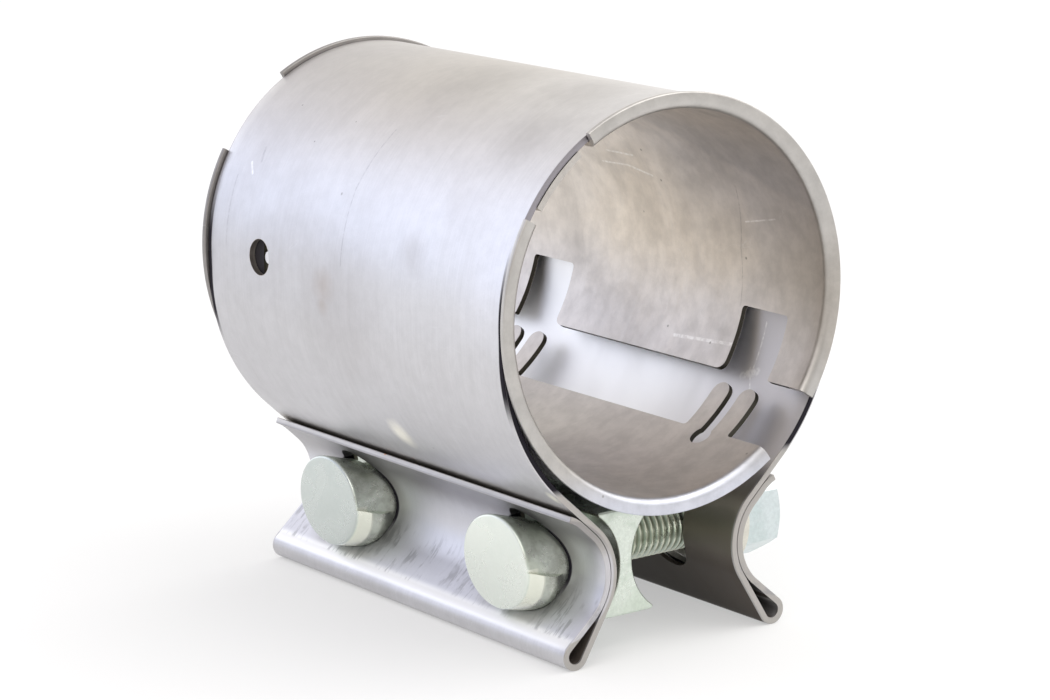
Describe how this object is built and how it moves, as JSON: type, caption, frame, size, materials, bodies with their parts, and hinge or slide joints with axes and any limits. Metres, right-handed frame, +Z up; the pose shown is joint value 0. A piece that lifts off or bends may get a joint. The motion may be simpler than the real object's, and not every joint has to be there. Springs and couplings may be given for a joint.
{
  "type": "butt joint band clamp",
  "caption": "Wide band clamp that joins two exhaust tubes end to end, with a split sleeve inside, folded ears, two bolts and a waisted reaction block.",
  "frame": {"origin": "on the axis of the sleeve's bore, at the middle of its length", "axes": "+Y along the bore towards the back end (the front end, with the seam's notch in view, is at -Y), +X along the bolts from heads to nuts, +Z up, away from the ears"},
  "size_m": [0.0838, 0.11, 0.1118],
  "materials": {
    "band": "satin, rolled along the circumference",
    "sleeve": "satin, slightly tan inside",
    "zinc_green": "pale green zinc plating",
    "washer": "cream zinc plating",
    "nut": "pale blue zinc plating"
  },
  "bodies": {
    "clamp": {"band": "band", "sleeve": "sleeve", "front_bolt": "zinc_green", "back_bolt": "zinc_green"},
    "block": {"reaction_block": "zinc_green"},
    "front_washer": {"front_saddle_washer": "washer"},
    "back_washer": {"back_saddle_washer": "washer"},
    "front_hex_nut": {"front_nut": "nut"},
    "back_hex_nut": {"back_nut": "nut"}
  },
  "joints": [
    {"name": "block_slide", "type": "slide", "parent": "clamp", "child": "block", "axis": [1, 0, 0], "range_m": [-0.003, 0.02]},
    {"name": "front_washer_slide", "type": "slide", "parent": "clamp", "child": "front_washer", "axis": [1, 0, 0], "range_m": [0, 0.0075]},
    {"name": "back_washer_slide", "type": "slide", "parent": "clamp", "child": "back_washer", "axis": [1, 0, 0], "range_m": [0, 0.0075]},
    {"name": "front_nut_turn", "type": "hinge", "parent": "front_washer", "child": "front_hex_nut", "pos_m": [0.0287, -0.0306, -0.0517], "axis": [1, 0, 0], "range_deg": [0, 1800]},
    {"name": "back_nut_turn", "type": "hinge", "parent": "back_washer", "child": "back_hex_nut", "pos_m": [0.0287, 0.0306, -0.0517], "axis": [1, 0, 0], "range_deg": [0, 1800]}
  ],
  "couplings": [
    {"joint": "front_nut_turn", "follows": "front_washer_slide", "rad_per_m": 4188.7},
    {"joint": "back_nut_turn", "follows": "back_washer_slide", "rad_per_m": 4188.7}
  ]
}
